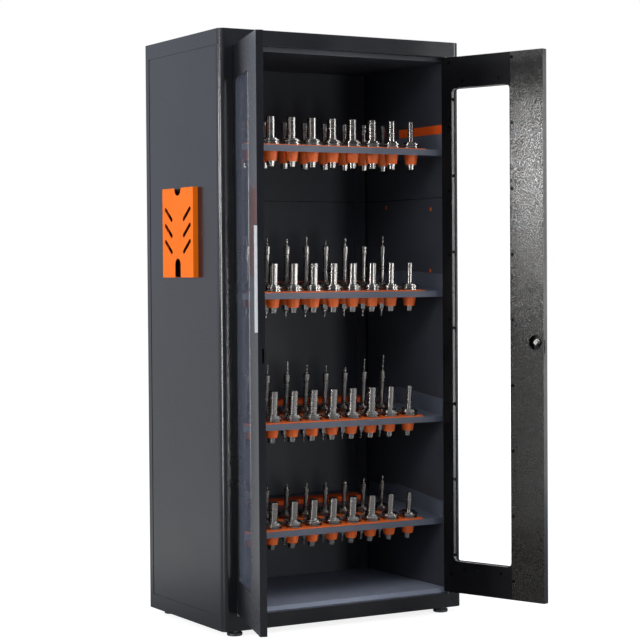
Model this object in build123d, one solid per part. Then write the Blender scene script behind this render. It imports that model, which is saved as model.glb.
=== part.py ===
"""Steel tool cabinet with two glazed doors and four racks of taper tool holders.

Millimetres. The origin is on the floor under the middle of the carcass. The front faces -Y,
+X is to the right and +Z is up. The doors are stored standing open, as in the photograph.
"""
from build123d import *
import os
from math import atan2, degrees, hypot

os.makedirs("parts", exist_ok=True)

# Carcass
cabinet_width = 910.0
cabinet_depth = 550.0
carcass_height = 1910.0
floor_gap = 20.0
sheet = 1.2
corner_radius = 22.0
post_face = 47.0
post_depth = 25.0
roof_rim = 50.0
base_rim = 48.0
seam_width = 3.0
seam_step = 1.0
backing = 1.0
edge_round = 1.2
tray_rise = 15.0
liner_seam_height = 1390.0
liner_seam = 2.0
rear_space = 10.0
rib_width = 22.0
rib_rise = 8.0
rib_setback = 37.0

# Levelling feet
foot_setback_x = 60.0
foot_setback_y = 43.0
foot_radius = 25.0
foot_height = 11.0
foot_bevel = 2.0
stud_radius = 6.0
stud_length = 45.0
stud_clearance = 0.05
nut_across = 19.0
nut_height = 8.0

# Doors
door_thickness = 22.0
door_gap_side = 2.5
door_gap_middle = 2.0
door_gap_head = 4.0
door_gap_foot = 8.0
left_door_angle = 107.7
right_door_angle = 109.7
door_sheet = 1.5
pivot_inset = 4.0
pin_radius = 2.5
pin_reach = 15.0
pin_clearance = 0.05
pin_head_clearance = 0.1
pin_head_height = 1.7
pin_end_gap = 0.5
pivot_block = 12.0
window_from_hinge = 41.5
window_width = 233.5
window_from_bottom = 106.5
window_from_top = 105.0
window_corner = 16.0
gasket_thickness = 5.0
gasket_lip = 1.5
gasket_cover = 11.0
glass_thickness = 3.0
glass_bite = 9.0
stile_from_hinge = 278.0
stile_hole_radius = 25.0

# Blind plugs in the doors
plug_radius = 5.5
plug_head = 1.6
plug_stem_radius = 3.0
plug_stem = 5.0
plug_clearance = 0.1
plug_count = 9
plug_first = 62.0
plug_last = 18.0
hinge_plug_setback = 31.0
stile_plug_setback = 284.5
rail_plugs = (86.0, 233.0)
rail_plug_inset = 82.5
reveal_plug_first = 4.0
reveal_plug_last = 20.0
reveal_plug_count = 7
reveal_plug_depth = 14.0

# Pull strip on the left door
pull_length = 317.0
pull_width = 27.0
pull_plate = 2.0
pull_lip = 9.0
pull_height = 962.0

# Lock in the right door
lock_setback = 32.0
lock_height = 906.0
barrel_radius = 11.0
barrel_flange_radius = 14.0
barrel_flange = 2.0
barrel_length = 12.0
core_radius = 8.0
core_clearance = 0.05
core_stand_out = 8.0
core_square = 7.0
cam_depth = 14.0
cam_thickness = 2.5
cam_length = 45.0
cam_width = 14.0
cam_slot_clearance = 1.5
lock_nut_size = 12.0
lock_nut_height = 5.0
key_thickness = 2.2
key_blade = 7.0
key_blade_length = 16.0
key_bow = 22.0
key_neck = 6.0
key_hole_radius = 3.5
key_hole_edge = 3.0
key_clearance = 0.1
key_cut_pitch = 3.6
key_cut_depth = 1.6
key_stand_off = 0.3
ring_radius = 9.0
ring_wire = 0.9
ring_play = 0.2
spare_key_blade_length = 28.0

# Document pocket on the left side
pocket_width = 227.0
pocket_height = 292.0
pocket_depth = 18.0
pocket_bottom = 1125.0
pocket_rear_edge = 115.0
pocket_sheet = 1.5
pocket_notch_radius = 25.0
pocket_drain_width = 42.0
pocket_drain_height = 62.0
pocket_flange = 12.0
slot_inset = 18.0
slot_run = 56.0
slot_drop = 43.0
slot_first = 64.0
slot_pitch = 53.0
slot_rows = 3
slot_width = 14.0

# Racks, from the top one down
rack_heights = (1550.0, 1073.0, 648.0, 299.0)
rack_setbacks = (30.0, 31.0, 43.0, 47.0)
rack_tilts = (0.0, 3.0, 6.0, 6.5)
rack_rear_gap = 38.0
rack_sheet = 2.0
rack_lip = 20.0
cheek_thickness = 2.0
cheek_rise = 56.0
cheek_tail_rise = 26.0
cheek_level = 270.0
holder_pitches = (77.0, 75.0, 75.0, 75.0)
row_shift = -5.0
row_setback = 41.0
row_spacing = 116.0
front_row_count = 9
second_row_count = 8
rail_setback = 335.0
rail_depth = 45.0
rail_rise = 15.0
rail_half_length = 290.0
rail_sheet = 2.0

# Orange bars and clips on the inner side walls
bar_height = 29.0
bar_length = 275.0
bar_thickness = 3.0
bar_setback = 28.0
bar_corner = 6.0
clip_height = 12.0
clip_width = 6.0
clip_thickness = 3.0
clip_places = ((108.0, 1352.0), (394.0, 1366.0), (112.0, 1142.0))

# Sleeves and tool holders with a steep 7:24 taper
taper_slope = 7.0 / 48.0
gauge_radius = 22.225
taper_length = 68.4
sleeve_wall = 3.3
sleeve_clearance = 0.25
sleeve_length = 50.0
sleeve_flange = 3.0
sleeve_width = 74.4
tray_hole_clearance = 0.3
flange_gap = 0.2
flange_radius = 31.5
flange_height = 15.9
groove_radius = 27.5
groove_width = 7.0
groove_floor = 3.0
drive_slot_width = 16.0
drive_slot_radius = 25.0
collar_radius = 25.0
collar_height = 5.0
edge_bevel = 1.2
bore_clearance = 0.05
cutter_seat = 12.0
nut_rise = 25.0
neck_step = 2.0
ring_groove_drops = (47.0, 21.0)
ring_groove_width = 1.2
ring_groove_depth = 0.6
front_barrel_radii = (15.0, 15.0, 15.0, 15.0, 15.0, 15.0, 15.0, 12.0, 9.5)
front_barrel_heights = (70.0, 70.0, 78.0, 64.0)
second_barrel_radii = (10.0, 11.0, 11.0, 10.0)
second_barrel_heights = (62.0, 121.0, 113.0, 78.0)
cutter_radii = (2.5, 2.0, 3.0, 2.5, 2.0, 3.5, 2.5, 3.0)
cutter_lengths = (
    (0.0, 0.0, 0.0, 0.0, 0.0, 0.0, 0.0, 0.0),
    (33.0, 28.0, 25.0, 33.0, 20.0, 28.0, 0.0, 35.0),
    (40.0, 34.0, 46.0, 28.0, 28.0, 20.0, 42.0, 55.0),
    (14.0, 14.0, 14.0, 14.0, 14.0, 14.0, 16.0, 22.0))

half_width = cabinet_width / 2
half_depth = cabinet_depth / 2
carcass_top = floor_gap + carcass_height
post_bottom = floor_gap + base_rim
post_top = carcass_top - roof_rim
wall_x = half_width - post_face
inner_front = -half_depth + post_depth
inner_rear = half_depth - rear_space - sheet
floor_top = post_bottom + tray_rise
ceiling_bottom = post_top - tray_rise


def block(x_range, y_range, z_range):
    """A box between two corners, each given as a low and a high value."""
    spans = (x_range, y_range, z_range)
    size = [high - low for low, high in spans]
    middle = [(high + low) / 2 for low, high in spans]
    return Pos(*middle) * Box(*size)


def rod(radius, low, high, x=0.0, y=0.0):
    """An upright cylinder from one height to another."""
    return Pos(x, y, (low + high) / 2) * Cylinder(radius, high - low)


def other_side(shape):
    """The same piece on the other side of the cabinet."""
    return mirror(shape, about=Plane.YZ)


def save(name, *solids):
    """Write one piece, or a group of like pieces, to its own file."""
    shape = solids[0] if len(solids) == 1 else Compound(children=list(solids))
    export_step(shape, f"parts/{name}.step")


def spread(first, last, count):
    """Evenly spaced values from first to last."""
    return [first + (last - first) * index / (count - 1) for index in range(count)]


def round_front(shape, radius):
    """Round the two upright edges at the front."""
    return fillet(shape.edges().filter_by(Axis.Z).group_by(Axis.Y)[0], radius)


# Roof and base

def rim_pan(rim):
    """A shallow pan as wide and deep as the cabinet, closed on top, standing from z 0 to its rim."""
    outer = block((-half_width, half_width), (-half_depth, half_depth), (0, rim))
    outer = round_front(outer, corner_radius)
    outer = fillet(outer.faces().sort_by(Axis.Z)[-1].edges(), edge_round)
    inner_x, inner_y = half_width - sheet, half_depth - sheet
    inner = block((-inner_x, inner_x), (-inner_y, inner_y), (0, rim - sheet))
    return outer - round_front(inner, corner_radius - sheet)


def closing_plate(bottom):
    """The flat plate that closes a pan, with a hole for each door's pin."""
    inner_x, inner_y = half_width - sheet, half_depth - sheet
    plate = block((-inner_x, inner_x), (-inner_y, inner_y), (bottom, bottom + sheet))
    plate = round_front(plate, corner_radius - sheet)
    for side in (-1, 1):
        plate -= rod(pin_radius, bottom, bottom + sheet, side * pivot_x, pivot_y)
    return plate


def inner_tray(low, high, open_below):
    """The raised floor or the ceiling: a shallow folded tray whose front edge stops the doors."""
    tray = block((-wall_x, wall_x), (inner_front, inner_rear), (low, high))
    hollow_low, hollow_high = (low, high - sheet) if open_below else (low + sheet, high)
    hollow_x = wall_x - sheet
    return tray - block((-hollow_x, hollow_x), (inner_front + sheet, inner_rear - sheet),
                        (hollow_low, hollow_high))


pivot_x = wall_x - door_gap_side - pivot_inset
pivot_y = -half_depth + pivot_inset
pin_head_radius = pivot_inset - sheet - pin_head_clearance
foot_x = half_width - foot_setback_x
foot_y = half_depth - foot_setback_y
foot_places = {"front_left": (-foot_x, -foot_y), "front_right": (foot_x, -foot_y),
               "rear_left": (-foot_x, foot_y), "rear_right": (foot_x, foot_y)}

base_pan = Pos(0, 0, post_bottom) * mirror(rim_pan(base_rim), about=Plane.XY)
for x, y in foot_places.values():
    base_pan -= rod(stud_radius + stud_clearance, floor_gap, floor_gap + sheet, x, y)
save("roof_pan", Pos(0, 0, post_top) * rim_pan(roof_rim))
save("base_pan", base_pan)
save("closing_plates", closing_plate(post_bottom - sheet), closing_plate(post_top))
save("floor_tray", inner_tray(post_bottom, floor_top, True))
save("ceiling_tray", inner_tray(ceiling_bottom, post_top, False))


# Posts

def round_cornered(inset, radius):
    """The right front post's block, drawn in by inset, with its outer front edge rounded."""
    solid = block((wall_x + inset, half_width - inset), (-half_depth + inset, inner_front - inset),
                  (post_bottom, post_top))
    corner = solid.edges().filter_by(Axis.Z).sort_by(lambda edge: edge.center().X - edge.center().Y)[-1]
    return fillet(corner, radius)


def front_post():
    """The right front post: a closed tube with one large round corner."""
    return round_cornered(0, corner_radius) - round_cornered(sheet, corner_radius - sheet)


def rear_post():
    """The right rear post: a plain rectangular tube."""
    heights = (post_bottom, post_top)
    outer = block((wall_x, half_width), (half_depth - post_depth, half_depth), heights)
    return outer - block((wall_x + sheet, half_width - sheet),
                         (half_depth - post_depth + sheet, half_depth - sheet), heights)


save("front_posts", front_post(), other_side(front_post()))
save("rear_posts", rear_post(), other_side(rear_post()))


# Outer panels, each joggled so that its field stands inside a seam

def side_panel():
    """The right outer panel between the posts."""
    outer_face = half_width - seam_step
    field_back = outer_face - sheet
    reach = half_depth - post_depth
    sheet_back = block((field_back - backing, field_back), (-reach, reach), (post_bottom, post_top))
    field = block((field_back, outer_face), (-reach + seam_width, reach - seam_width),
                  (post_bottom + seam_width, post_top - seam_width))
    return sheet_back + field


def back_panel():
    """The outer panel across the back."""
    outer_face = half_depth - seam_step
    field_back = outer_face - sheet
    sheet_back = block((-wall_x, wall_x), (field_back - backing, field_back), (post_bottom, post_top))
    field = block((-wall_x + seam_width, wall_x - seam_width), (field_back, outer_face),
                  (post_bottom + seam_width, post_top - seam_width))
    return sheet_back + field


save("right_side_panel", side_panel())
save("left_side_panel", other_side(side_panel()))
save("back_panel", back_panel())

# Inner walls, each of a lower and an upper sheet with a seam between

seam_z = floor_gap + liner_seam_height
wall_spans = ((post_bottom, seam_z - liner_seam / 2), (seam_z + liner_seam / 2, post_top))
side_wall = [block((wall_x, wall_x + sheet), (inner_front, half_depth - post_depth), span)
             for span in wall_spans]
rear_wall = [block((-wall_x, wall_x), (inner_rear, inner_rear + sheet), span) for span in wall_spans]
save("inner_side_walls", *side_wall, *[other_side(solid) for solid in side_wall])


def corner_rib():
    """A folded rib up the rear wall beside the right corner, with sloping flanks."""
    outer_edge = wall_x - rib_setback + rib_width / 2
    inner_edge = outer_edge - rib_width
    crest = inner_rear - rib_rise
    outline = Polyline((inner_edge, inner_rear), (inner_edge + rib_rise / 2, crest),
                       (outer_edge - rib_rise / 2, crest), (outer_edge, inner_rear), close=True)
    rib = extrude(make_face(outline), ceiling_bottom - floor_top)
    return Pos(0, 0, floor_top) * rib


save("rear_inner_wall", *rear_wall, corner_rib(), other_side(corner_rib()))


# Levelling feet

def hex_nut(low):
    """A plain nut round a foot's stud, at a given height."""
    nut = Pos(0, 0, low) * extrude(RegularPolygon(nut_across / 2, 6, major_radius=False), nut_height)
    return nut - rod(stud_radius + stud_clearance, low, low + nut_height)


def levelling_foot():
    """A round pad with bevelled edges, and its upright stud."""
    pad = rod(foot_radius, 0, foot_height)
    pad = chamfer(pad.edges().filter_by(GeomType.CIRCLE), foot_bevel)
    return pad + rod(stud_radius, foot_height, stud_length)


nuts = []
for place, (x, y) in foot_places.items():
    save(f"{place}_foot", Pos(x, y, 0) * levelling_foot())
    nuts += [Pos(x, y, 0) * hex_nut(floor_gap - nut_height), Pos(x, y, 0) * hex_nut(floor_gap + sheet)]
save("foot_nuts", *nuts)


# Doors, drawn shut on the right side and then swung open

door_edge = wall_x - door_gap_side
door_width = door_edge - door_gap_middle / 2
door_low = post_bottom + door_gap_foot
door_high = post_top - door_gap_head
window_low = door_low + window_from_bottom
window_high = door_high - window_from_top
window_far = window_from_hinge + window_width
lock_u = door_width - lock_setback
lock_z = floor_gap + lock_height
glass_front = door_sheet + (gasket_thickness - glass_thickness) / 2
gasket_back = door_sheet + gasket_thickness


def door_block(u_range, v_range, z_range):
    """A box in a door: u from the hinge edge, v from the outer face, and z."""
    x_range = (door_edge - u_range[1], door_edge - u_range[0])
    y_range = (-half_depth + v_range[0], -half_depth + v_range[1])
    return block(x_range, y_range, z_range)


def door_rod(radius, u, z, v_range):
    """A cylinder through a door's thickness."""
    length = v_range[1] - v_range[0]
    middle = -half_depth + (v_range[0] + v_range[1]) / 2
    return Pos(door_edge - u, middle, z) * Rot(90, 0, 0) * Cylinder(radius, length)


def window_block(grow, v_range):
    """The window's rounded outline, made larger all round by grow."""
    solid = door_block((window_from_hinge - grow, window_far + grow), v_range,
                       (window_low - grow, window_high + grow))
    return fillet(solid.edges().filter_by(Axis.Y), window_corner + grow)


def cam_slot():
    """The slot in a door's free edge that the lock's cam passes through."""
    to_edge = lock_setback - 2 * door_sheet
    low = lock_z - (cam_length ** 2 - to_edge ** 2) ** 0.5 - cam_slot_clearance
    high = lock_z + cam_width / 2 + cam_slot_clearance
    return door_block((door_width - 2 * door_sheet - cam_slot_clearance, door_width),
                      (cam_depth - cam_slot_clearance, cam_depth + cam_thickness + cam_slot_clearance),
                      (low, high))


def pivot_hole():
    """The bore for the pins at a door's top and bottom."""
    radius = pin_radius + pin_clearance
    return rod(radius, door_low, door_low + pin_reach, pivot_x, pivot_y) + rod(
        radius, door_high - pin_reach, door_high, pivot_x, pivot_y)


def door_shell():
    """The outer pan: face, folded edges and a solid block for each pin."""
    depth = door_thickness - door_sheet
    shell = door_block((0, door_width), (0, depth), (door_low, door_high))
    shell -= door_block((door_sheet, door_width - door_sheet), (door_sheet, depth),
                        (door_low + door_sheet, door_high - door_sheet))
    for span in ((door_low, door_low + pin_reach), (door_high - pin_reach, door_high)):
        shell += door_block((0, pivot_block), (0, pivot_block), span)
    return shell - window_block(0, (0, door_sheet)) - pivot_hole() - cam_slot()


def inner_frame():
    """The inner panel round the window, folded in towards the glass."""
    high_v, low_v = door_thickness, door_thickness - door_sheet
    plate = door_block((0, stile_from_hinge), (low_v, high_v), (door_low, door_high))
    fold = window_block(door_sheet, (gasket_back, low_v)) - window_block(0, (gasket_back, low_v))
    frame = plate - window_block(0, (low_v, high_v)) + fold
    for u, z in frame_plugs:
        frame -= door_rod(plug_stem_radius + plug_clearance, u, z, (low_v, high_v))
    for z in reveal_plug_heights:
        frame -= reveal_hole(z)
    return frame


def lock_stile():
    """The channel down the inner side of the free edge."""
    far = door_width - door_sheet
    low_v, high_v = door_thickness - door_sheet, door_thickness
    stile = door_block((stile_from_hinge, door_width), (low_v, high_v), (door_low, door_high))
    inside = (door_low + door_sheet, door_high - door_sheet)
    stile += door_block((stile_from_hinge, stile_from_hinge + door_sheet), (gasket_back, low_v), inside)
    stile += door_block((far - door_sheet, far), (door_sheet, low_v), inside)
    for z in plug_heights:
        stile -= door_rod(plug_stem_radius + plug_clearance, stile_plug_setback, z, (low_v, high_v))
    return stile - cam_slot()


def reveal_hole(z):
    """The hole in the window's hinge-side fold for one plug."""
    return reveal_rod(plug_stem_radius + plug_clearance, z, -door_sheet, 0)


def reveal_rod(radius, z, low, high):
    """A cylinder that points across the window from its hinge-side fold."""
    x = door_edge - window_from_hinge - (low + high) / 2
    return Pos(x, -half_depth + reveal_plug_depth, z) * Rot(0, 90, 0) * Cylinder(radius, high - low)


plug_heights = spread(door_low + plug_first, door_high - plug_last, plug_count)
reveal_plug_heights = spread(window_low + window_corner + reveal_plug_first,
                             window_high - window_corner - reveal_plug_last, reveal_plug_count)
frame_plugs = [(hinge_plug_setback, z) for z in plug_heights]
rail_heights = (door_low + rail_plug_inset, door_high - rail_plug_inset)
frame_plugs += [(u, z) for u in rail_plugs for z in rail_heights]
stile_plugs = [(stile_plug_setback, z) for z in plug_heights]


def plugs():
    """All the black blind plugs of one door."""
    face = door_thickness
    group = []
    for u, z in frame_plugs + stile_plugs:
        head = door_rod(plug_radius, u, z, (face, face + plug_head))
        group.append(head + door_rod(plug_stem_radius, u, z, (face - plug_stem, face)))
    for z in reveal_plug_heights:
        head = reveal_rod(plug_radius, z, 0, plug_head)
        group.append(head + reveal_rod(plug_stem_radius, z, -plug_stem, 0))
    return group


def gasket():
    """The black rubber channel that holds the glass."""
    span = (door_sheet, gasket_back)
    ring = window_block(gasket_cover, span) - window_block(-gasket_lip, span)
    return ring - window_block(glass_bite, (glass_front, glass_front + glass_thickness))


def glass():
    """The clear pane, held by its edges."""
    return window_block(glass_bite, (glass_front, glass_front + glass_thickness))


def pull_strip():
    """The folded strip on the outer face by the free edge, with a lip for the fingers."""
    low = floor_gap + pull_height
    span = (low, low + pull_length)
    plate = door_block((door_width - pull_width, door_width), (-pull_plate, 0), span)
    return plate + door_block((door_width - pull_plate, door_width), (-pull_lip, 0), span)


def swing(shape, side):
    """Turn a piece from the shut door to the stored, open place, on the right or the left."""
    angle = right_door_angle if side == "right" else left_door_angle
    opened = Pos(pivot_x, pivot_y, 0) * Rot(0, 0, angle) * Pos(-pivot_x, -pivot_y, 0) * shape
    return opened if side == "right" else other_side(opened)


def hinge_pins():
    """The upper and lower pins of the right door, fixed in the closing plates."""
    lower = rod(pin_radius, post_bottom - sheet, door_low + pin_reach - pin_end_gap, pivot_x, pivot_y)
    lower += rod(pin_head_radius, post_bottom, post_bottom + pin_head_height, pivot_x, pivot_y)
    upper = rod(pin_radius, door_high - pin_reach + pin_end_gap, post_top + sheet, pivot_x, pivot_y)
    upper += rod(pin_head_radius, post_top + sheet, post_top + sheet + pin_head_height, pivot_x, pivot_y)
    return [lower, upper]


lock_cuts = door_rod(barrel_radius, lock_u, lock_z, (0, door_sheet))
stile_window = door_rod(stile_hole_radius, lock_u, lock_z, (door_thickness - door_sheet, door_thickness))
for side in ("left", "right"):
    shell, stile = door_shell(), lock_stile()
    if side == "right":
        shell, stile = shell - lock_cuts, stile - stile_window
    save(f"{side}_door_shell", swing(shell, side))
    save(f"{side}_door_inner_frame", swing(inner_frame(), side))
    save(f"{side}_door_lock_stile", swing(stile, side))
    save(f"{side}_door_glass", swing(glass(), side))
    save(f"{side}_door_gasket", swing(gasket(), side))
    save(f"{side}_door_plugs", *[swing(solid, side) for solid in plugs()])
save("door_hinge_pins", *hinge_pins(), *[other_side(pin) for pin in hinge_pins()])
save("left_door_pull", swing(pull_strip(), "left"))


# Lock: barrel, turning core, cam with its nut, and two keys

def lock_barrel():
    """The fixed barrel with its outer flange."""
    barrel = door_rod(barrel_radius, lock_u, lock_z, (0, barrel_length))
    barrel += door_rod(barrel_flange_radius, lock_u, lock_z, (-barrel_flange, 0))
    return barrel - door_rod(core_radius + core_clearance, lock_u, lock_z, (-barrel_flange, barrel_length))


def lock_core():
    """The core that the key turns, with a square end that carries the cam."""
    core = door_rod(core_radius, lock_u, lock_z, (-core_stand_out, cam_depth))
    half = core_square / 2
    square = (cam_depth, cam_depth + cam_thickness + lock_nut_height)
    core += door_block((lock_u - half, lock_u + half), square, (lock_z - half, lock_z + half))
    slot_half = key_thickness / 2 + key_clearance
    blade_half = key_blade / 2 + key_clearance
    return core - door_block((lock_u - slot_half, lock_u + slot_half),
                             (-core_stand_out, key_blade_length - core_stand_out + key_clearance),
                             (lock_z - blade_half, lock_z + blade_half))


def lock_cam():
    """The cam that hangs down when the lock is open."""
    half = cam_width / 2
    v_range = (cam_depth, cam_depth + cam_thickness)
    cam = door_block((lock_u - half, lock_u + half), v_range, (lock_z - cam_length + half, lock_z))
    cam += door_rod(half, lock_u, lock_z, v_range)
    cam += door_rod(half, lock_u, lock_z - cam_length + half, v_range)
    hole = core_square / 2
    return cam - door_block((lock_u - hole, lock_u + hole), v_range, (lock_z - hole, lock_z + hole))


def lock_nut():
    """The square nut on the core, standing on its corner."""
    v_low = cam_depth + cam_thickness
    middle = -half_depth + v_low + lock_nut_height / 2
    nut = Pos(door_edge - lock_u, middle, lock_z) * Rot(0, 45, 0) * Box(
        lock_nut_size, lock_nut_height, lock_nut_size)
    hole = core_square / 2
    return nut - door_block((lock_u - hole, lock_u + hole), (v_low, v_low + lock_nut_height),
                            (lock_z - hole, lock_z + hole))


def key(blade_length):
    """A flat key along Y with its blade towards +Y. The origin is where the blade meets the neck."""
    blade = Pos(0, blade_length / 2, 0) * Box(key_thickness, blade_length, key_blade)
    notch = Rot(45, 0, 0) * Box(2 * key_thickness, key_cut_depth * 2 ** 0.5, key_cut_depth * 2 ** 0.5)
    for index in range(1, int(blade_length // key_cut_pitch)):
        blade -= Pos(0, key_cut_pitch * index, -key_blade / 2) * notch
    neck = Pos(0, -key_neck / 2, 0) * Box(key_thickness, key_neck, key_blade)
    disc = Rot(0, 90, 0) * Cylinder(key_bow / 2, key_thickness)
    hole = Rot(0, 90, 0) * Cylinder(key_hole_radius, key_thickness)
    bow = Pos(0, -key_neck - key_bow / 2 + key_overlap, 0) * disc
    return blade + neck + bow - Pos(0, key_hole_y, 0) * hole


key_overlap = key_neck / 2
key_hole_y = key_overlap - key_neck - key_bow + key_hole_edge + key_hole_radius
key_x = door_edge - lock_u
key_y = -half_depth - core_stand_out - key_stand_off
ring_y = key_y + key_hole_y
ring_top = lock_z - key_hole_radius + ring_wire + ring_play
ring_bottom = ring_top - 2 * ring_radius


def key_ring():
    """The wire ring through the first key's bow."""
    return Pos(key_x, ring_y, ring_top - ring_radius) * Rot(90, 0, 0) * Torus(ring_radius, ring_wire)


def spare_key():
    """The second key, hanging straight down from the ring."""
    hole_z = ring_bottom - key_hole_radius + ring_wire + ring_play
    hanging = Rot(-90, 0, 0) * Pos(0, -key_hole_y, 0) * key(spare_key_blade_length)
    return Pos(key_x, ring_y, hole_z) * hanging


save("lock_barrel", swing(lock_barrel(), "right"))
save("lock_core", swing(lock_core(), "right"))
save("lock_cam", swing(lock_cam(), "right"))
save("lock_nut", swing(lock_nut(), "right"))
save("lock_key", swing(Pos(key_x, key_y, lock_z) * key(key_blade_length - 2 * key_stand_off), "right"))
save("spare_key", swing(key_ring(), "right"), swing(spare_key(), "right"))


# Document pocket

def pocket_cutter(outline, y, z, angle=0.0):
    """A hole of a given outline through the pocket's face, at a place on the left side."""
    sketch = Plane.YZ * Pos(y, z) * Rot(0, 0, angle) * outline
    return Pos(pocket_face, 0, 0) * extrude(sketch, amount=pocket_sheet, both=True)


pocket_back = -half_width + seam_step
pocket_face = pocket_back - pocket_depth
pocket_y = (pocket_rear_edge - pocket_width, pocket_rear_edge)
pocket_z = (floor_gap + pocket_bottom, floor_gap + pocket_bottom + pocket_height)


def document_pocket():
    """A folded orange pocket, open on top, with a finger notch and rows of slanting slots."""
    middle_y = pocket_rear_edge - pocket_width / 2
    body = block((pocket_face, pocket_back), pocket_y, pocket_z)
    inner_y = (pocket_y[0] + pocket_sheet, pocket_y[1] - pocket_sheet)
    inner_z = (pocket_z[0] + pocket_sheet, pocket_z[1])
    body -= block((pocket_face + pocket_sheet, pocket_back - pocket_sheet), inner_y, inner_z)
    back_y = (pocket_y[0] + pocket_flange, pocket_y[1] - pocket_flange)
    body -= block((pocket_back - pocket_sheet, pocket_back), back_y, inner_z)
    body -= pocket_cutter(Circle(pocket_notch_radius), middle_y, pocket_z[1])
    drain_half = pocket_drain_width / 2
    arch_z = pocket_z[0] + pocket_drain_height - drain_half
    body -= pocket_cutter(Circle(drain_half), middle_y, arch_z)
    body -= block((pocket_face, pocket_back), (middle_y - drain_half, middle_y + drain_half),
                  (pocket_z[0], pocket_z[0] + pocket_sheet))
    body -= block((pocket_face, pocket_face + pocket_sheet), (middle_y - drain_half, middle_y + drain_half),
                  (pocket_z[0], arch_z))
    angle = degrees(atan2(slot_drop, slot_run))
    outline = SlotOverall(hypot(slot_run, slot_drop), slot_width)
    for row in range(slot_rows):
        slot_z = pocket_z[1] - slot_first - slot_pitch * row - slot_drop / 2
        for side in (-1, 1):
            slot_y = middle_y + side * (pocket_width / 2 - slot_inset - slot_run / 2)
            body -= pocket_cutter(outline, slot_y, slot_z, side * angle)
    return body


save("document_pocket", document_pocket())


# Racks, each drawn flat with its lip's top edge at the origin and then put in its place

def rack_place(index):
    """Where a rack's lip stands and how far its tray tilts forward."""
    lip_y = -half_depth + rack_setbacks[index]
    return Pos(0, lip_y, floor_gap + rack_heights[index]) * Rot(rack_tilts[index], 0, 0)


def row_places(count, y, pitch):
    """The centres of one row of holders, evenly spaced about a line a little left of the middle."""
    return [(row_shift + (index - (count - 1) / 2) * pitch, y) for index in range(count)]


def taper_radius(z):
    """The radius of a holder's taper at a height above its gauge line."""
    return gauge_radius + taper_slope * z


front_rows = [row_places(front_row_count, row_setback, pitch) for pitch in holder_pitches]
second_rows = [row_places(second_row_count, row_setback + row_spacing, pitch) for pitch in holder_pitches]
rack_half = wall_x - cheek_thickness
rack_depth = inner_rear - inner_front - rack_rear_gap
sleeve_top_radius = taper_radius(0) + sleeve_clearance + sleeve_wall


def rack_tray(index):
    """The punched sheet with its front and rear lips."""
    tray = block((-rack_half, rack_half), (0, rack_depth), (-rack_sheet, 0))
    for y in (0, rack_depth - rack_sheet):
        tray += block((-rack_half, rack_half), (y, y + rack_sheet), (-rack_lip, 0))
    for x, y in front_rows[index] + second_rows[index]:
        tray -= rod(sleeve_top_radius + tray_hole_clearance, -rack_sheet, 0, x, y)
    return tray


def rack_cheek():
    """The right end plate of a rack, higher than the tray and cut down towards the rear."""
    outline = Polyline((0, -rack_lip), (rack_depth, -rack_lip), (rack_depth, cheek_tail_rise),
                       (cheek_level, cheek_rise), (0, cheek_rise), close=True)
    return Pos(rack_half, 0, 0) * extrude(Plane.YZ * make_face(outline), cheek_thickness)


def sleeve():
    """One orange sleeve: a square flange on a cone bored for the taper."""
    half = sleeve_width / 2
    flange = block((-half, half), (-half, half), (0, sleeve_flange))
    low_radius = taper_radius(-sleeve_length) + sleeve_clearance
    cone = Pos(0, 0, -sleeve_length / 2) * Cone(low_radius + sleeve_wall, sleeve_top_radius, sleeve_length)
    height = sleeve_length + sleeve_flange
    bore = Cone(low_radius, taper_radius(sleeve_flange) + sleeve_clearance, height)
    return flange + cone - Pos(0, 0, sleeve_flange - height / 2) * bore


def rear_rail():
    """The raised orange channel across the back of a tray."""
    y_range = (rail_setback, rail_setback + rail_depth)
    rail = block((-rail_half_length, rail_half_length), y_range, (0, rail_rise))
    inner_y = (rail_setback + rail_sheet, rail_setback + rail_depth - rail_sheet)
    return rail - block((-rail_half_length, rail_half_length), inner_y, (0, rail_rise - rail_sheet))


def ring_grooves(radius, top):
    """The outline of the narrow grooves round a plain barrel, from the lowest up."""
    points = []
    for drop in ring_groove_drops:
        low, high = top - drop - ring_groove_width / 2, top - drop + ring_groove_width / 2
        floor = radius - ring_groove_depth
        points += [(radius, low), (floor, low), (floor, high), (radius, high)]
    return points


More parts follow.
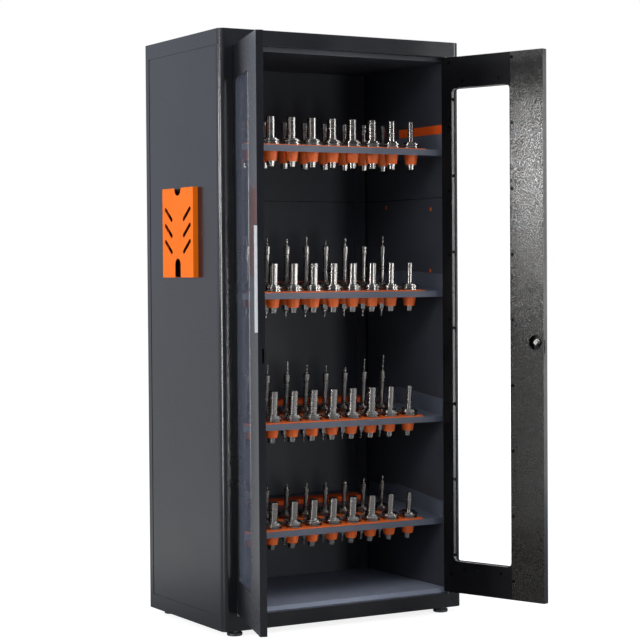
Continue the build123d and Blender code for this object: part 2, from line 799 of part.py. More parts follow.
def holder(barrel_radius, barrel_height, neck_radius, bore_radius=0.0):
    """One steep-taper tool holder: taper, grooved flange, collar and barrel, with its gauge line at z 0."""
    low, low_radius = -taper_length, taper_radius(-taper_length)
    flange_low = sleeve_flange + flange_gap
    flange_high = flange_low + flange_height
    groove_z = flange_low + flange_height / 2
    collar_high = flange_high + collar_height
    top = collar_high + barrel_height
    nut_low = top - nut_rise
    outline = [(0, low), (low_radius - edge_bevel, low), (low_radius, low + edge_bevel),
               (gauge_radius, 0), (gauge_radius, flange_low),
               (flange_radius - edge_bevel, flange_low), (flange_radius, flange_low + edge_bevel),
               (flange_radius, groove_z - groove_width / 2), (groove_radius, groove_z - groove_floor / 2),
               (groove_radius, groove_z + groove_floor / 2), (flange_radius, groove_z + groove_width / 2),
               (flange_radius, flange_high - edge_bevel), (flange_radius - edge_bevel, flange_high),
               (collar_radius, flange_high), (collar_radius, collar_high - edge_bevel),
               (collar_radius - edge_bevel, collar_high), (neck_radius, collar_high)]
    if neck_radius < barrel_radius:
        outline += [(neck_radius, nut_low - barrel_radius + neck_radius), (barrel_radius, nut_low)]
    else:
        outline += ring_grooves(barrel_radius, top)
    outline += [(barrel_radius, top - edge_bevel), (barrel_radius - edge_bevel, top), (0, top)]
    solid = revolve(Plane.XZ * make_face(Polyline(*outline, close=True)), Axis.Z)
    for side in (-1, 1):
        x_range = sorted((side * drive_slot_radius, side * (flange_radius + edge_bevel)))
        solid -= block(x_range, (-drive_slot_width / 2, drive_slot_width / 2), (flange_low, flange_high))
    if bore_radius:
        solid -= rod(bore_radius, top - cutter_seat, top)
    return solid


def cutter(radius, length, barrel_height):
    """A drill that stands in its holder's bore, with a pointed end."""
    top = sleeve_flange + flange_gap + flange_height + collar_height + barrel_height
    body = rod(radius, top - cutter_seat, top + length - radius)
    return body + Pos(0, 0, top + length - radius / 2) * Cone(radius, radius / 4, radius)


def front_holders(index):
    """The front row of a rack, from left to right."""
    height = front_barrel_heights[index]
    return [Pos(x, y, 0) * holder(radius, height, radius)
            for (x, y), radius in zip(front_rows[index], front_barrel_radii)]


def second_holders(index):
    """The second row of a rack and the cutters that stand in it."""
    height, radius = second_barrel_heights[index], second_barrel_radii[index]
    holders, cutters = [], []
    for (x, y), cutter_radius, length in zip(second_rows[index], cutter_radii, cutter_lengths[index]):
        bore = cutter_radius + bore_clearance if length else 0.0
        holders.append(Pos(x, y, 0) * holder(radius, height, radius - neck_step, bore))
        if length:
            cutters.append(Pos(x, y, 0) * cutter(cutter_radius, length, height))
    return holders, cutters


rails, all_cutters, cheeks, free_sleeves = [], [], [], []
for index in range(len(rack_heights)):
    place, name = rack_place(index), f"rack_{index + 1}"
    front = [place * solid for solid in front_holders(index)]
    second, cutters = second_holders(index)
    save(f"{name}_tray", place * rack_tray(index))
    sleeves = [place * Pos(x, y, 0) * sleeve() for x, y in second_rows[index] + front_rows[index]]
    save(f"{name}_sleeves", *sleeves[:-1])
    free_sleeves.append(sleeves[-1])
    save(f"{name}_tool_holders", *front[:-1], *[place * solid for solid in second])
    save(f"{name}_lift_out_holder", front[-1])
    rails.append(place * rear_rail())
    cheeks.append(place * rack_cheek())
    all_cutters += [place * solid for solid in cutters]
save("lift_out_sleeves", *free_sleeves)
save("rack_rear_rails", *rails)
save("rack_cheeks", *cheeks, *[other_side(cheek) for cheek in cheeks])
save("drills", *all_cutters)


# Orange bars above the top rack's cheeks, and clips on the side walls

def side_bar():
    """The right bar, with its upper front corner cut off."""
    front = -half_depth + bar_setback
    low = floor_gap + rack_heights[0] + cheek_rise
    rear, high = front + bar_length, low + bar_height
    outline = Polyline((front, low), (rear, low), (rear, high),
                       (front + bar_corner, high), (front, high - bar_corner), close=True)
    return Pos(wall_x - bar_thickness, 0, 0) * extrude(Plane.YZ * make_face(outline), bar_thickness)


def wall_clip(from_front, height):
    """A small clip that stands on the right wall."""
    y, z = -half_depth + from_front, floor_gap + height
    return block((wall_x - clip_thickness, wall_x), (y - clip_width / 2, y + clip_width / 2),
                 (z - clip_height / 2, z + clip_height / 2))


clips = [wall_clip(*place) for place in clip_places]
save("rack_side_bars", side_bar(), other_side(side_bar()))
save("wall_clips", *clips, *[other_side(clip) for clip in clips])
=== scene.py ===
# %% [markdown]
# A steel tool cabinet with two glazed doors, dressed around its CAD frame.
# The CAD nodes already have the true shapes and sizes, so most of them stay and get a finish here.
# What is too fine or too repeated for CAD, such as drill flutes, nut slots and knurling, is made with
# Geometry Nodes and rides on the same bodies.

# %% Load the frame
import bpy
from math import cos, radians, sin
from mathutils import Matrix, Vector


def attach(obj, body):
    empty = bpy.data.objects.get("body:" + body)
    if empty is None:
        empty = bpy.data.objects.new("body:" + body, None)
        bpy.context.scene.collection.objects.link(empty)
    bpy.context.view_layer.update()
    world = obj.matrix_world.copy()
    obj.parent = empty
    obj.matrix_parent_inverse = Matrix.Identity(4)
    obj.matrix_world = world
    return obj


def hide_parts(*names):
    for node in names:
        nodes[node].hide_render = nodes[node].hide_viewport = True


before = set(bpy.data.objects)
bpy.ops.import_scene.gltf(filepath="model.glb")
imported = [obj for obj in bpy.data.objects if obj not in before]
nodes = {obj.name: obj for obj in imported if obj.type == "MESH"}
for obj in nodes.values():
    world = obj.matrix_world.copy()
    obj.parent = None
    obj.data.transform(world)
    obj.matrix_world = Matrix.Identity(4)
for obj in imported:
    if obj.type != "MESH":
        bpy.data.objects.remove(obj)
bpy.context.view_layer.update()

# %% [markdown]
# Every colour below is written as the sRGB hex value that the eye sees. Blender's shaders work in linear
# light, so one function turns the one into the other.


# %% Colours and nodes
def paint(code):
    """An sRGB hex colour as linear RGBA."""
    channels = [int(code[at:at + 2], 16) / 255 for at in (1, 3, 5)]
    return tuple(c / 12.92 if c <= 0.04045 else ((c + 0.055) / 1.055) ** 2.4 for c in channels) + (1.0,)


def add(tree, kind, inputs=None, **settings):
    """Add a node, set its properties, and give its inputs a value or another node's output."""
    node = tree.nodes.new(kind)
    for name, value in settings.items():
        setattr(node, name, value)
    for name, value in (inputs or {}).items():
        socket = node.inputs[name]
        if isinstance(value, bpy.types.NodeSocket):
            tree.links.new(value, socket)
        else:
            socket.default_value = value
    return node


def finish(name, colour, roughness, metallic=0.0, **sockets):
    """A new material with its shader and the Object coordinates that its patterns read."""
    material = bpy.data.materials.new(name)
    material.use_nodes = True
    tree = material.node_tree
    shader = tree.nodes["Principled BSDF"]
    shader.inputs["Base Color"].default_value = paint(colour)
    shader.inputs["Roughness"].default_value = roughness
    shader.inputs["Metallic"].default_value = metallic
    for socket, value in sockets.items():
        shader.inputs[socket.replace("_", " ")].default_value = value
    return material, tree, shader, add(tree, "ShaderNodeTexCoord").outputs["Object"]


def dress(material, *names):
    """Give CAD nodes a finish."""
    for name in names:
        mesh = nodes[name].data
        mesh.materials.clear()
        mesh.materials.append(material)
    print(material.name, "on", len(names), "nodes")


print("middle grey in linear light", round(paint("#808080")[0], 3))

# %% [markdown]
# The steel sheets are powder coated: charged polyester powder melts into a tough skin. It levels almost
# flat, but keeps a soft ripple, called orange peel, a few millimetres across. That ripple is what breaks up
# the reflections, so it is in the bump. A very slow drift of tone keeps large panels from looking like cut
# paper. The lock stiles have a coarser coat with light and dark specks. Noise makes all of these, since no
# pattern in a coat repeats. A noise texture's Scale counts blotches per metre, so 1000 is divided by their
# size in millimetres.


# %% Powder coat
# Sizes of the patterns, in millimetres
PEEL_SIZE = 5.0
PEEL_DEPTH = 0.004
TONE_SIZE = 420
SMEAR_SIZE = 150
# Nearly all of a noise's values lie in this band, which a Map Range node stretches to what a pattern needs
BAND = {"From Min": 0.3, "From Max": 0.7}
# The darkest and lightest specks of the coarse coat, as shares of its colour
FLECKS = {"To Min": 0.2, "To Max": 2.3}


def powder_coat(name, colour, roughness, peel=PEEL_DEPTH, drift=0.06, grain=0.0, **sockets):
    """Powder-coated sheet. A grain in millimetres makes it the coarse, speckled kind."""
    material, tree, shader, where = finish(name, colour, roughness, **sockets)
    slow = add(tree, "ShaderNodeTexNoise", {"Vector": where, "Scale": 1000 / TONE_SIZE, "Detail": 3})
    tone = add(tree, "ShaderNodeMapRange", {"Value": slow.outputs["Fac"], "To Min": 1 - drift,
                                            "To Max": 1 + drift, **BAND}).outputs["Result"]
    if grain:
        patch = add(tree, "ShaderNodeTexNoise", {"Vector": where, "Scale": 1000 / grain, "Detail": 1})
        fleck = add(tree, "ShaderNodeMapRange", {"Value": patch.outputs["Fac"], **BAND, **FLECKS})
        tone = add(tree, "ShaderNodeMath", {0: tone, 1: fleck.outputs["Result"]},
                   operation="MULTIPLY").outputs["Value"]
        glossier, duller = 0.07, 0.08
    else:
        patch = add(tree, "ShaderNodeTexNoise", {"Vector": where, "Scale": 1000 / SMEAR_SIZE, "Detail": 4})
        glossier, duller = 0.04, 0.05
    gloss = add(tree, "ShaderNodeMapRange", {"Value": patch.outputs["Fac"], "To Min": roughness - glossier,
                                             "To Max": roughness + duller, **BAND})
    shade = add(tree, "ShaderNodeVectorMath", {0: paint(colour)[:3], "Scale": tone}, operation="SCALE")
    ripple = add(tree, "ShaderNodeTexNoise", {"Vector": where, "Scale": 1000 / PEEL_SIZE, "Detail": 1})
    bump = add(tree, "ShaderNodeBump", {"Height": ripple.outputs["Fac"], "Distance": peel / 1000})
    tree.links.new(shade.outputs["Vector"], shader.inputs["Base Color"])
    tree.links.new(gloss.outputs["Result"], shader.inputs["Roughness"])
    tree.links.new(bump.outputs["Normal"], shader.inputs["Normal"])
    return material


graphite = powder_coat("graphite_polyester_powder_coat", "#141519", roughness=0.24)
interior = powder_coat("interior_graphite_powder_coat", "#3B3E45", roughness=0.42)
door_lining = powder_coat("door_lining_powder_coat", "#0B0B0D", roughness=0.3, Specular_IOR_Level=0.16)
textured = powder_coat("textured_lock_stile_powder_coat", "#151311", roughness=0.27, peel=0.012, grain=4.5,
                       Specular_IOR_Level=0.45)
rack_paint = powder_coat("rack_grey_powder_coat", "#565C68", roughness=0.45)
# The floor tray has the racks' grey-blue paint. Its colour is drawn lighter here as painted light, to make
# up for the shade on the interior floor.
floor_tray_painted_lighter = powder_coat("rack_grey_painted_lighter_for_floor_tray", "#8A91A1", roughness=0.45)
orange_coat = powder_coat("orange_polyester_powder_coat", "#E06708", roughness=0.5, drift=0.03,
                          Specular_IOR_Level=0.15)
bar_coat = powder_coat("red_orange_powder_coat", "#E4581C", roughness=0.5, drift=0.03,
                       Specular_IOR_Level=0.15)

dress(graphite, "roof_pan", "base_pan", "front_posts", "rear_posts", "right_side_panel", "left_side_panel",
      "back_panel", "left_door_shell", "right_door_shell")
dress(interior, "closing_plates", "ceiling_tray", "inner_side_walls", "rear_inner_wall")
dress(door_lining, "left_door_inner_frame", "right_door_inner_frame")
dress(textured, "left_door_lock_stile", "right_door_lock_stile")
dress(floor_tray_painted_lighter, "floor_tray")
dress(rack_paint, "rack_cheeks", *[f"rack_{n}_tray" for n in range(1, 5)])
dress(orange_coat, "document_pocket")
dress(bar_coat, "rack_rear_rails", "rack_side_bars")

# %% [markdown]
# The doors' inner frames are black on their flat sides. Their folds round the windows carry the same glossy
# coat as the doors' shells, which is why a thin bright line runs down each window. A fold is any face whose
# normal lies in the door's plane. The doors stand open, so that plane is turned by the door's angle. Each
# mesh has both finishes, and a face's normal chooses between them, so no shape changes.

# %% Folds of the inner frames
DOOR_ANGLES = {"left": -107.7, "right": 109.7}
FOLD_LIMIT = 0.3
for side, angle in DOOR_ANGLES.items():
    mesh = nodes[f"{side}_door_inner_frame"].data
    mesh.materials.append(graphite)
    door_normal = Matrix.Rotation(radians(angle), 3, "Z") @ Vector((0, 1, 0))
    for polygon in mesh.polygons:
        polygon.material_index = int(abs(polygon.normal.dot(door_normal)) < FOLD_LIMIT)
    print(side, "door's inner frame", len(mesh.polygons), "faces")

# %% [markdown]
# The sleeves and clips are moulded polypropylene in nearly the same orange. Moulded plastic is a little soft
# in its gloss and lets some light into its skin, so it gets a touch of subsurface scattering. The plugs are
# black polyethylene and the windows' gaskets rubber. A mould's spark-eroded texture is only a tenth of a
# millimetre wide, too fine to show, so it is drawn some ten times as coarse.


# %% Moulded plastics and rubber
def moulded(name, colour, roughness, texture_mm, depth_mm, **sockets):
    """Moulded plastic or rubber, with the fine texture that its mould leaves."""
    material, tree, shader, where = finish(name, colour, roughness, **sockets)
    texture = add(tree, "ShaderNodeTexNoise", {"Vector": where, "Scale": 1000 / texture_mm, "Detail": 3})
    bump = add(tree, "ShaderNodeBump", {"Height": texture.outputs["Fac"], "Distance": depth_mm / 1000})
    tree.links.new(bump.outputs["Normal"], shader.inputs["Normal"])
    return material


sleeve_plastic = moulded("orange_moulded_polypropylene", "#E4651C", 0.5, 1.6, 0.03,
                         Subsurface_Weight=0.08, Subsurface_Scale=0.004)
plug_plastic = moulded("black_moulded_polyethylene", "#020203", 0.6, 1.5, 0.02, Specular_IOR_Level=0.05)
gasket_rubber = moulded("black_extruded_rubber", "#08080A", 0.6, 1.2, 0.03, Specular_IOR_Level=0.3)
dress(sleeve_plastic, "wall_clips", "lift_out_sleeves", *[f"rack_{n}_sleeves" for n in range(1, 5)])
dress(plug_plastic, "left_door_plugs", "right_door_plugs")
dress(gasket_rubber, "left_door_gasket", "right_door_gasket")

# %% [markdown]
# The tool holders are case-hardened alloy steel, ground all over and polished. Grinding leaves lines round
# the axis, and turned steps leave bands a few millimetres wide. The lines themselves are far finer than a
# pixel, so the bands stand in for both, and only in the roughness. The other metals are plated, brushed or
# blackened, each with lines of its own size.


# %% Metals
# The pattern is drawn out 25 times along x and y, so its lines run level
LINE_STRETCH = (0.04, 0.04, 1.0)


def metal(name, colour, roughness, line_mm=0.6, worn=0.06, depth_mm=0.0):
    """Metal with level lines in its gloss, and grooves where a depth is given."""
    material, tree, shader, where = finish(name, colour, roughness, metallic=1.0)
    flat = add(tree, "ShaderNodeMapping", {"Vector": where, "Scale": LINE_STRETCH}).outputs["Vector"]
    lines = add(tree, "ShaderNodeTexNoise", {"Vector": flat, "Scale": 1000 / line_mm, "Detail": 2})
    gloss = add(tree, "ShaderNodeMapRange", {"Value": lines.outputs["Fac"], "To Min": roughness - worn,
                                             "To Max": roughness + worn, **BAND})
    tree.links.new(gloss.outputs["Result"], shader.inputs["Roughness"])
    if depth_mm:
        bump = add(tree, "ShaderNodeBump", {"Height": lines.outputs["Fac"], "Distance": depth_mm / 1000})
        tree.links.new(bump.outputs["Normal"], shader.inputs["Normal"])
    return material


ground_steel = metal("ground_alloy_steel", "#96938F", 0.2, line_mm=6, worn=0.09)
tool_steel = metal("ground_high_speed_steel", "#A6A19A", 0.22)
zinc = metal("bright_zinc_plate", "#B9BBB8", 0.3, line_mm=3)
nickel = metal("nickel_plate", "#AEABA4", 0.2, line_mm=3)
key_nickel = metal("stamped_nickel_plated_brass", "#B5B3AA", 0.28, line_mm=1)
anodised = metal("brushed_anodised_aluminium", "#F6F7F9", 0.5, line_mm=0.8, depth_mm=0.004)
black_steel = metal("blackened_steel", "#1C1C1D", 0.35, line_mm=3)
foot_plate = metal("dark_zinc_plated_steel", "#5E5F60", 0.38, line_mm=2)
for n in range(1, 5):
    dress(ground_steel, f"rack_{n}_tool_holders", f"rack_{n}_lift_out_holder")
dress(tool_steel, "drills")
dress(zinc, "foot_nuts", "door_hinge_pins", "lock_nut")
dress(black_steel, "lock_cam")
dress(nickel, "lock_barrel", "lock_core")
dress(key_nickel, "lock_key", "spare_key")
dress(anodised, "left_door_pull")
dress(foot_plate, "front_left_foot", "front_right_foot", "rear_left_foot", "rear_right_foot")

# %% [markdown]
# The holders, drills and feet carry fine forms that repeat: two spiral flutes round each drill, a
# castellated collar on each collet nut, a turned stud under each taper, and knurling round each foot. One
# Geometry Nodes tree can make them all, because each is one outline swept along a line. The line's own
# radius sets the size, and its tilt turns the outline as it goes, which is just what a flute does.

# %% Places in the racks
# Each rack: the y and z of its lip in metres, its tilt in degrees, and in millimetres its pitch, the height
# and radius of the second row's barrels, and how far each drill stands out
RACKS = (
    (-0.245, 1.570, 0.0, 77, 62, 10, (0, 0, 0, 0, 0, 0, 0, 0)),
    (-0.244, 1.093, 3.0, 75, 121, 11, (33, 28, 25, 33, 20, 28, 0, 35)),
    (-0.232, 0.668, 6.0, 75, 113, 11, (40, 34, 46, 28, 28, 20, 42, 55)),
    (-0.228, 0.319, 6.5, 75, 78, 10, (14, 14, 14, 14, 14, 14, 16, 22)))
DRILL_RADII = (2.5, 2.0, 3.0, 2.5, 2.0, 3.5, 2.5, 3.0)
ROW_COUNT = 8
# How far the rows stand off the middle, and the second row behind the lip
ROW_SHIFT = -5
SECOND_ROW = 157
# The top of a flange and the small end of a taper, from the tray
COLLAR_TOP = 24.1
TAPER_END = -68.4


def spot(rack, x, y, z):
    """A point given in a rack's own millimetres, in metres in the room."""
    lip_y, lip_z, tilt = rack[0], rack[1], radians(rack[2])
    turned = Vector((x, y * cos(tilt) - z * sin(tilt), y * sin(tilt) + z * cos(tilt)))
    return turned / 1000 + Vector((0, lip_y, lip_z))


def second_row(rack):
    """The x of each holder in the second row."""
    return [ROW_SHIFT + (index - (ROW_COUNT - 1) / 2) * rack[3] for index in range(ROW_COUNT)]


print("racks", len(RACKS), "with", ROW_COUNT, "places in each second row")


# %% The swept-outline tree
# How wide a tip stays, as a share of the line's radius
TIP_WIDTH = 0.1
NEARLY_ZERO = 0.0001


def sweep_tree(name):
    """A Geometry Nodes tree that sweeps a ribbed or fluted outline along every spline of a curve."""
    tree = bpy.data.node_groups.new(name, "GeometryNodeTree")
    face = tree.interface
    face.new_socket("Geometry", in_out="INPUT", socket_type="NodeSocketGeometry")
    for label, kind in (("Ribs", "Int"), ("Outline Points", "Int"), ("Depth", "Float"),
                        ("Sharpness", "Float"), ("Twist per Radius", "Float"), ("Steps", "Int"),
                        ("Point Length", "Float"), ("Material", "Material")):
        face.new_socket(label, in_out="INPUT", socket_type=f"NodeSocket{kind}")
    face.new_socket("Geometry", in_out="OUTPUT", socket_type="NodeSocketGeometry")
    given = add(tree, "NodeGroupInput").outputs

    # The outline is a circle of radius 1, drawn in by a wave round its middle
    circle = add(tree, "GeometryNodeCurvePrimitiveCircle", {"Resolution": given["Outline Points"],
                                                            "Radius": 1.0}).outputs["Curve"]
    position = add(tree, "GeometryNodeInputPosition").outputs["Position"]
    at = add(tree, "ShaderNodeSeparateXYZ", {"Vector": position}).outputs
    angle = add(tree, "ShaderNodeMath", {0: at["Y"], 1: at["X"]}, operation="ARCTAN2").outputs[0]
    ribbed = add(tree, "ShaderNodeMath", {0: angle, 1: given["Ribs"]}, operation="MULTIPLY").outputs[0]
    wave = add(tree, "ShaderNodeMath", {0: ribbed}, operation="COSINE").outputs[0]
    lowest = add(tree, "ShaderNodeMath", {0: given["Sharpness"], 1: -1.0}, operation="MULTIPLY").outputs[0]
    notch = add(tree, "ShaderNodeMapRange", {"Value": wave, "From Min": lowest,
                                             "From Max": given["Sharpness"], "To Min": given["Depth"],
                                             "To Max": 0.0}).outputs["Result"]
    rest = add(tree, "ShaderNodeMath", {0: 1.0, 1: notch}, operation="SUBTRACT").outputs[0]
    shrunk = add(tree, "ShaderNodeVectorMath", {0: position, "Scale": rest},
                 operation="SCALE").outputs["Vector"]
    outline = add(tree, "GeometryNodeSetPosition", {"Geometry": circle,
                                                    "Position": shrunk}).outputs["Geometry"]

    # The line turns the outline by its tilt and narrows it towards its far end
    line = add(tree, "GeometryNodeResampleCurve", {"Curve": given["Geometry"],
                                                   "Count": given["Steps"]}).outputs["Curve"]
    size = add(tree, "GeometryNodeInputRadius").outputs["Radius"]
    along = add(tree, "GeometryNodeSplineParameter").outputs
    radii = add(tree, "ShaderNodeMath", {0: along["Length"], 1: size}, operation="DIVIDE").outputs[0]
    turn = add(tree, "ShaderNodeMath", {0: radii, 1: given["Twist per Radius"]},
               operation="MULTIPLY").outputs[0]
    twisted = add(tree, "GeometryNodeSetCurveTilt", {"Curve": line, "Tilt": turn}).outputs["Curve"]
    share = add(tree, "ShaderNodeMath", {0: along["Factor"], 1: NEARLY_ZERO}, operation="MAXIMUM").outputs[0]
    total = add(tree, "ShaderNodeMath", {0: along["Length"], 1: share}, operation="DIVIDE").outputs[0]
    to_tip = add(tree, "ShaderNodeMath", {0: total, 1: along["Length"]}, operation="SUBTRACT").outputs[0]
    point = add(tree, "ShaderNodeMath", {0: size, 1: given["Point Length"]}, operation="MULTIPLY").outputs[0]
    left_over = add(tree, "ShaderNodeMath", {0: to_tip, 1: point}, operation="DIVIDE").outputs[0]
    wide = add(tree, "ShaderNodeMath", {0: left_over, 1: TIP_WIDTH}, operation="ADD").outputs[0]
    narrow = add(tree, "ShaderNodeMath", {0: 1.0, 1: wide}, operation="MINIMUM").outputs[0]
    radius = add(tree, "ShaderNodeMath", {0: size, 1: narrow}, operation="MULTIPLY").outputs[0]
    pointed = add(tree, "GeometryNodeSetCurveRadius", {"Curve": twisted, "Radius": radius})
    solid = add(tree, "GeometryNodeCurveToMesh", {"Curve": pointed.outputs["Curve"],
                                                  "Profile Curve": outline, "Fill Caps": True})
    if "Scale" in solid.inputs:
        # Where the node has this input, the line's radius no longer sets the size by itself
        tree.links.new(add(tree, "GeometryNodeInputRadius").outputs["Radius"], solid.inputs["Scale"])
    real = add(tree, "GeometryNodeRealizeInstances", {"Geometry": solid.outputs["Mesh"]}).outputs["Geometry"]
    done = add(tree, "GeometryNodeSetMaterial", {"Geometry": real, "Material": given["Material"]})
    add(tree, "NodeGroupOutput", {"Geometry": done.outputs["Geometry"]})
    return tree


swept = sweep_tree("swept_outline")
print("swept outline", len(swept.nodes), "nodes")


def sweep(name, body, slot, material, lines, **sizes):
    """Sweep the outline along lines, each a list of (point, radius), and keep a plain mesh."""
    curve = bpy.data.curves.new(f"{name}_lines", "CURVE")
    curve.dimensions = "3D"
    for line in lines:
        spline = curve.splines.new("POLY")
        spline.points.add(len(line) - 1)
        for point, (place, radius) in zip(spline.points, line):
            point.co = (*place, 1.0)
            point.radius = radius
    maker = bpy.data.objects.new(f"{name}_maker", curve)
    bpy.context.collection.objects.link(maker)
    modifier = maker.modifiers.new("sweep", "NODES")
    modifier.node_group = swept
    # The point's length is in radii, and a very short one leaves the end blunt
    values = {"Ribs": 2, "Outline Points": 24, "Depth": 0.0, "Sharpness": 1.0, "Twist per Radius": 0.0,
              "Steps": 2, "Point Length": 0.001, "Material": material}
    values.update({key.replace("_", " "): value for key, value in sizes.items()})
    for item in swept.interface.items_tree:
        if item.in_out == "INPUT" and item.name in values:
            modifier[item.identifier] = values[item.name]
    mesh = bpy.data.meshes.new_from_object(maker.evaluated_get(bpy.context.evaluated_depsgraph_get()))
    bpy.data.objects.remove(maker)
    mesh.name = name
    piece = bpy.data.objects.new(name, mesh)
    bpy.context.collection.objects.link(piece)
    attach(piece, body)
    print(name, len(lines), "lines,", len(mesh.polygons), "faces")
    return piece


# %% [markdown]
# The drills are ground from high speed steel with two flutes. A flute's helix leans about 30 degrees, so it
# turns by tan(30) / radius for each millimetre. The drills stand 12 mm deep in their holders, point up.

# %% Twist drills
HELIX = 0.577
BORE_DEPTH = 12
drill_lines = []
for rack in RACKS:
    for x, radius, length in zip(second_row(rack), DRILL_RADII, rack[6]):
        if length:
            top = COLLAR_TOP + rack[4]
            ends = (spot(rack, x, SECOND_ROW, top - BORE_DEPTH), spot(rack, x, SECOND_ROW, top + length))
            drill_lines.append([(place, radius / 1000) for place in ends])
twist_drills = sweep("twist_drills", "carcass", "tool_steel", tool_steel, drill_lines, Ribs=2,
                     Outline_Points=20, Depth=0.5, Sharpness=0.6, Twist_per_Radius=HELIX, Steps=56,
                     Point_Length=1.1)
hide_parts("drills")

# %% [markdown]
# A spanner with small teeth tightens each collet nut, so the nut has notches round it. Under the second
# row's tapers, on all but the top rack, a turned stud stands out, which a machine's gripper pulls on.

# %% Collet nuts and pull studs
# The nut's two ends below its barrel's top, and how far it stands out round the barrel
NUT_DROPS = (19, 5)
NUT_RISE = 0.9
# The stud's drop below the taper and its radius there
STUD = ((0, 6.5), (5, 6.5), (5.2, 3.6), (11, 3.6), (11.2, 5.2), (14, 5.2), (14.2, 2.8), (20, 2.8),
        (20.2, 4.2), (24, 4.2), (25, 3.2))
nut_lines, stud_lines = [], []
for rack in RACKS:
    nut_top = COLLAR_TOP + rack[4]
    nut_radius = (rack[5] + NUT_RISE) / 1000
    for x in second_row(rack):
        nut_lines.append([(spot(rack, x, SECOND_ROW, nut_top - drop), nut_radius) for drop in NUT_DROPS])
for rack in RACKS[1:]:
    for x in second_row(rack):
        stud_lines.append([(spot(rack, x, SECOND_ROW, TAPER_END - drop), radius / 1000)
                           for drop, radius in STUD])
sweep("collet_nut_collars", "carcass", "ground_steel", ground_steel, nut_lines, Ribs=8, Outline_Points=64,
      Depth=0.12, Sharpness=0.3)
sweep("pull_studs", "carcass", "ground_steel", ground_steel, stud_lines, Outline_Points=16, Steps=26)

# %% [markdown]
# The feet are turned by hand to level the cabinet, so their rims are knurled. The ribs stand out on the
# rim's outline, which a bump can't show, so they are swept too: a wavy outline along a line 5.4 mm long.

# %% Knurled rims
FOOT_X, FOOT_Y = 0.395, 0.232
RIM_HEIGHTS = (0.0028, 0.0082)
RIM_RADIUS = 0.0256
for place, x, y in (("front_left", -FOOT_X, -FOOT_Y), ("front_right", FOOT_X, -FOOT_Y),
                    ("rear_left", -FOOT_X, FOOT_Y), ("rear_right", FOOT_X, FOOT_Y)):
    rim = [((x, y, height), RIM_RADIUS) for height in RIM_HEIGHTS]
    sweep(f"{place}_foot_knurling", f"{place}_foot", "foot_steel", foot_plate, [rim], Ribs=48,
          Outline_Points=288, Depth=0.03, Sharpness=0.7)

# %% [markdown]
# The panes are clear float glass 3 mm thick. A refracting shader on a closed pane gives both things that the
# eye sees: nearly nothing when it looks straight through, and a mirror when it looks along the pane. A thin
# film of dust shows only along the pane too, so it is a little sheen.

# %% Glass
glass, *_ = finish("clear_float_glass", "#FFFFFF", 0.0, Transmission_Weight=1.0, IOR=1.45,
                   Sheen_Weight=0.3, Sheen_Roughness=0.35, Sheen_Tint=paint("#D6E2FF"))
dress(glass, "left_door_glass", "right_door_glass")

# %% [markdown]
# The studio is white behind the cabinet and dim on the camera's side, which is why its front looks almost
# black in the photograph while the panel that faces left, and mirrors the backdrop, looks grey. The world
# does this with its direction: its strength grows from front to back, and the ceiling glows softly. The
# camera, and rays that pass through the glass, see plain white. The floor glows for those rays too, so it is
# white and still shows a soft shadow, and its back half glows in reflections as the backdrop does.

# %% Studio backdrop
FRONT_GLOW = 0.04
CEILING_GLOW = 0.5
BACK_GLOW = 0.9
# How far up, and how far back, a direction points where each glow starts and is full
CEILING_EDGE = {"From Min": 0.02, "From Max": 0.25}
BACK_EDGE = {"From Min": 0.2, "From Max": 0.6}
# The backdrop glows more for rays through a pane, which makes up for what the pane loses
PANE_LOSS = 0.15
world = bpy.data.worlds.new("studio")
bpy.context.scene.world = world
world.use_nodes = True
sky = world.node_tree
direction = add(sky, "ShaderNodeTexCoord").outputs["Generated"]
toward = add(sky, "ShaderNodeSeparateXYZ", {"Vector": direction}).outputs
front = add(sky, "ShaderNodeMapRange", {"Value": toward["Z"], "To Min": FRONT_GLOW, "To Max": CEILING_GLOW,
                                        **CEILING_EDGE}, interpolation_type="SMOOTHSTEP").outputs["Result"]
behind = add(sky, "ShaderNodeMapRange", {"Value": toward["Y"], "To Min": 0.0, "To Max": 1.0, **BACK_EDGE},
             interpolation_type="SMOOTHSTEP").outputs["Result"]
glow = add(sky, "ShaderNodeMix", {"Factor": behind, "A": front, "B": BACK_GLOW}).outputs["Result"]
path = add(sky, "ShaderNodeLightPath").outputs
seen = add(sky, "ShaderNodeMath", {0: path["Is Camera Ray"], 1: path["Is Transmission Ray"]},
           operation="MAXIMUM").outputs["Value"]
white = add(sky, "ShaderNodeMath", {0: path["Is Transmission Ray"], 1: PANE_LOSS, 2: 1.0},
            operation="MULTIPLY_ADD").outputs["Value"]
strength = add(sky, "ShaderNodeMix", {"Factor": seen, "A": glow, "B": white}).outputs["Result"]
sky.links.new(strength, sky.nodes["Background"].inputs["Strength"])
tint = add(sky, "ShaderNodeMix", {"Factor": seen, "A": paint("#E9EFFF"), "B": paint("#FFFFFF")},
           data_type="RGBA")
sky.links.new(tint.outputs["Result"], sky.nodes["Background"].inputs["Color"])
print("backdrop", world.name)

# %% Studio floor
FLOOR_WHITE = 0.85
FLOOR_MIRROR = 0.55
FLOOR_HALF = 30.0
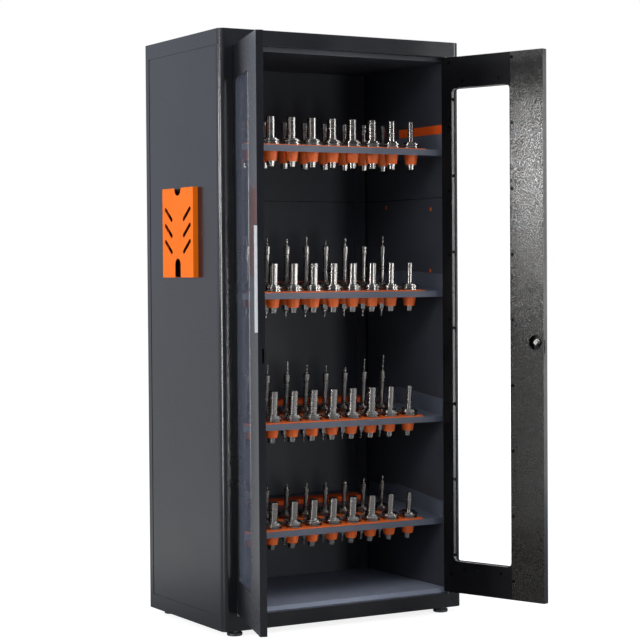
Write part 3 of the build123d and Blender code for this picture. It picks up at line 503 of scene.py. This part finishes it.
# From here to there, in metres towards the back, the floor's glow in reflections rises
FLOOR_EDGE = {"From Min": 0.0, "From Max": 1.5}
floor_finish, floor_tree, floor_shader, floor_where = finish("white_studio_floor", "#9C9C9C", 0.9,
                                                             Specular_IOR_Level=0.1)
path = add(floor_tree, "ShaderNodeLightPath").outputs
seen = add(floor_tree, "ShaderNodeMath", {0: path["Is Camera Ray"], 1: path["Is Transmission Ray"]},
           operation="MAXIMUM").outputs["Value"]
depth = add(floor_tree, "ShaderNodeSeparateXYZ", {"Vector": floor_where}).outputs["Y"]
back = add(floor_tree, "ShaderNodeMapRange", {"Value": depth, "To Min": 0.0, "To Max": FLOOR_MIRROR,
                                              **FLOOR_EDGE},
           interpolation_type="SMOOTHSTEP").outputs["Result"]
mirrored = add(floor_tree, "ShaderNodeMath", {0: path["Is Glossy Ray"], 1: back},
               operation="MULTIPLY").outputs["Value"]
floor_glow = add(floor_tree, "ShaderNodeMath", {0: seen, 1: FLOOR_WHITE, 2: mirrored},
                 operation="MULTIPLY_ADD").outputs["Value"]
floor_shader.inputs["Emission Color"].default_value = paint("#FFFFFF")
floor_tree.links.new(floor_glow, floor_shader.inputs["Emission Strength"])
floor_mesh = bpy.data.meshes.new("studio_floor")
corners = [(x * FLOOR_HALF, y * FLOOR_HALF, 0) for x, y in ((-1, -1), (1, -1), (1, 1), (-1, 1))]
floor_mesh.from_pydata(corners, [], [(0, 1, 2, 3)])
floor_mesh.materials.append(floor_finish)
studio_floor = bpy.data.objects.new("studio_floor", floor_mesh)
bpy.context.collection.objects.link(studio_floor)
print("studio floor", 2 * FLOOR_HALF, "m")

# %% [markdown]
# Glossy paint mirrors each lamp, so every soft box stands where the photograph has a highlight. The tall,
# narrow key makes the thin line down the cabinet's round corner, and the side box makes the bright patch on
# the right door's lock stile. The right box makes that door's pale edge. The others lift the front, the
# racks and the floor tray a little.


# %% Soft boxes
def soft_box(name, place, target, size, watts):
    """A rectangular lamp aimed at a point."""
    light = bpy.data.lights.new(name, "AREA")
    light.shape = "RECTANGLE"
    light.size, light.size_y = size
    light.energy = watts
    holder = bpy.data.objects.new(name, light)
    aim = Vector(target) - Vector(place)
    holder.matrix_world = Matrix.Translation(place) @ aim.to_track_quat("-Z", "Y").to_matrix().to_4x4()
    bpy.context.collection.objects.link(holder)


# Each soft box: name, place, target, width and height, watts
soft_box("key_soft_box", (-4.5, -1.45, 1.15), (0, -0.4, 1.1), (0.4, 2.2), 125)
soft_box("side_soft_box", (-4.4, 0.6, 1.75), (0, -0.4, 1.4), (0.7, 0.6), 50)
soft_box("left_soft_box", (-2.9, -3.0, 3.3), (0, -0.2, 1.0), (1.5, 1.0), 34)
soft_box("top_soft_box", (-0.6, -2.6, 4.2), (0, 0, 0.8), (2.4, 1.4), 25)
soft_box("front_soft_box", (1.0, -4.2, 0.6), (0, 0, 0.3), (0.5, 0.8), 18)
soft_box("right_front_soft_box", (3.3, -3.1, 1.5), (0, -0.2, 1.0), (0.9, 2.4), 64)
soft_box("right_soft_box", (4.2, -1.4, 1.1), (0, -0.4, 1.0), (0.7, 2.4), 17)
print("soft boxes", len(bpy.data.lights))

# %% [markdown]
# The camera stands where the photographer's did, found from the cabinet's own straight edges: 6.4 m away, a
# little above the door's pull, and with a long lens that keeps the uprights nearly parallel.

# %% Camera
camera_data = bpy.data.cameras.new("photographer")
camera_data.sensor_width = 36
camera_data.lens = 105.88
camera = bpy.data.objects.new("photographer", camera_data)
camera.location = (-3.1564, -5.5623, 1.1625)
camera.rotation_euler = [radians(angle) for angle in (88.5137, 0.3912, -30.0692)]
bpy.context.collection.objects.link(camera)
bpy.context.scene.camera = camera
bpy.context.scene.view_settings.view_transform = "Standard"
print("lens", camera_data.lens, "mm")
